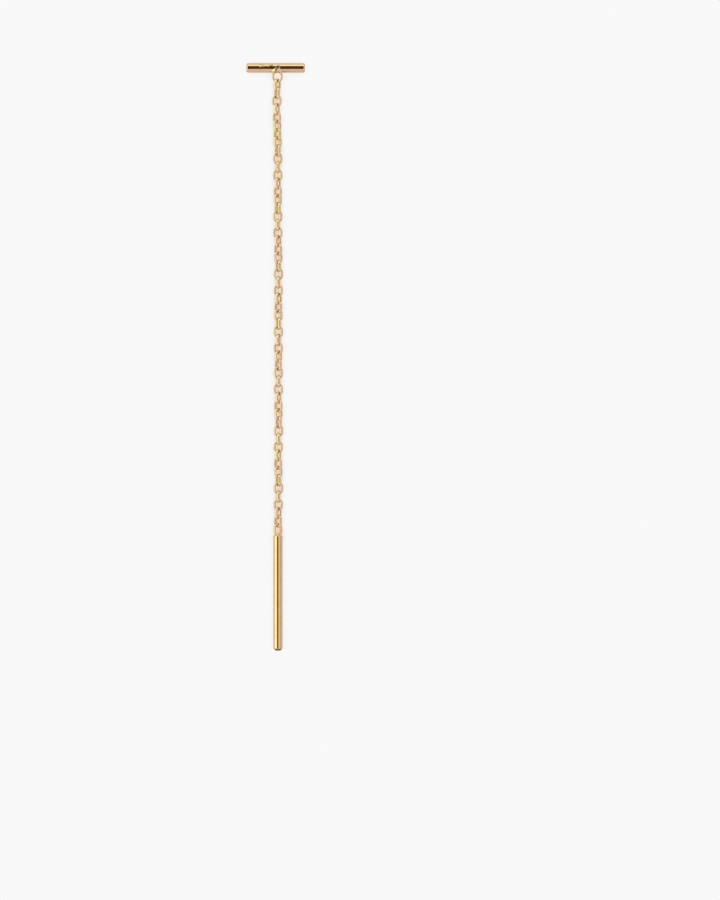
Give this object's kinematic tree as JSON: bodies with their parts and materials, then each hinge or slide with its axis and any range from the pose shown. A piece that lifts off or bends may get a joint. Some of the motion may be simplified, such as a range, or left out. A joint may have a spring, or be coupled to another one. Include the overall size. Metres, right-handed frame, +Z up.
{
  "type": "threader earring",
  "caption": "Threader earring lying flat: a short cross bar and a long thin rod joined by a fine cable chain.",
  "frame": {"origin": "below the middle of the bounding box, on the surface the earring lies on", "axes": "+Y along the chain from the rod to the cross bar, +Z up from the surface, +X along the cross bar"},
  "size_m": [0.0074, 0.0748, 0.0014],
  "materials": {
    "gold": "polished"
  },
  "bodies": {
    "root": {"top_bar": "gold", "chain": "gold", "drop_rod": "gold"}
  },
  "joints": []
}
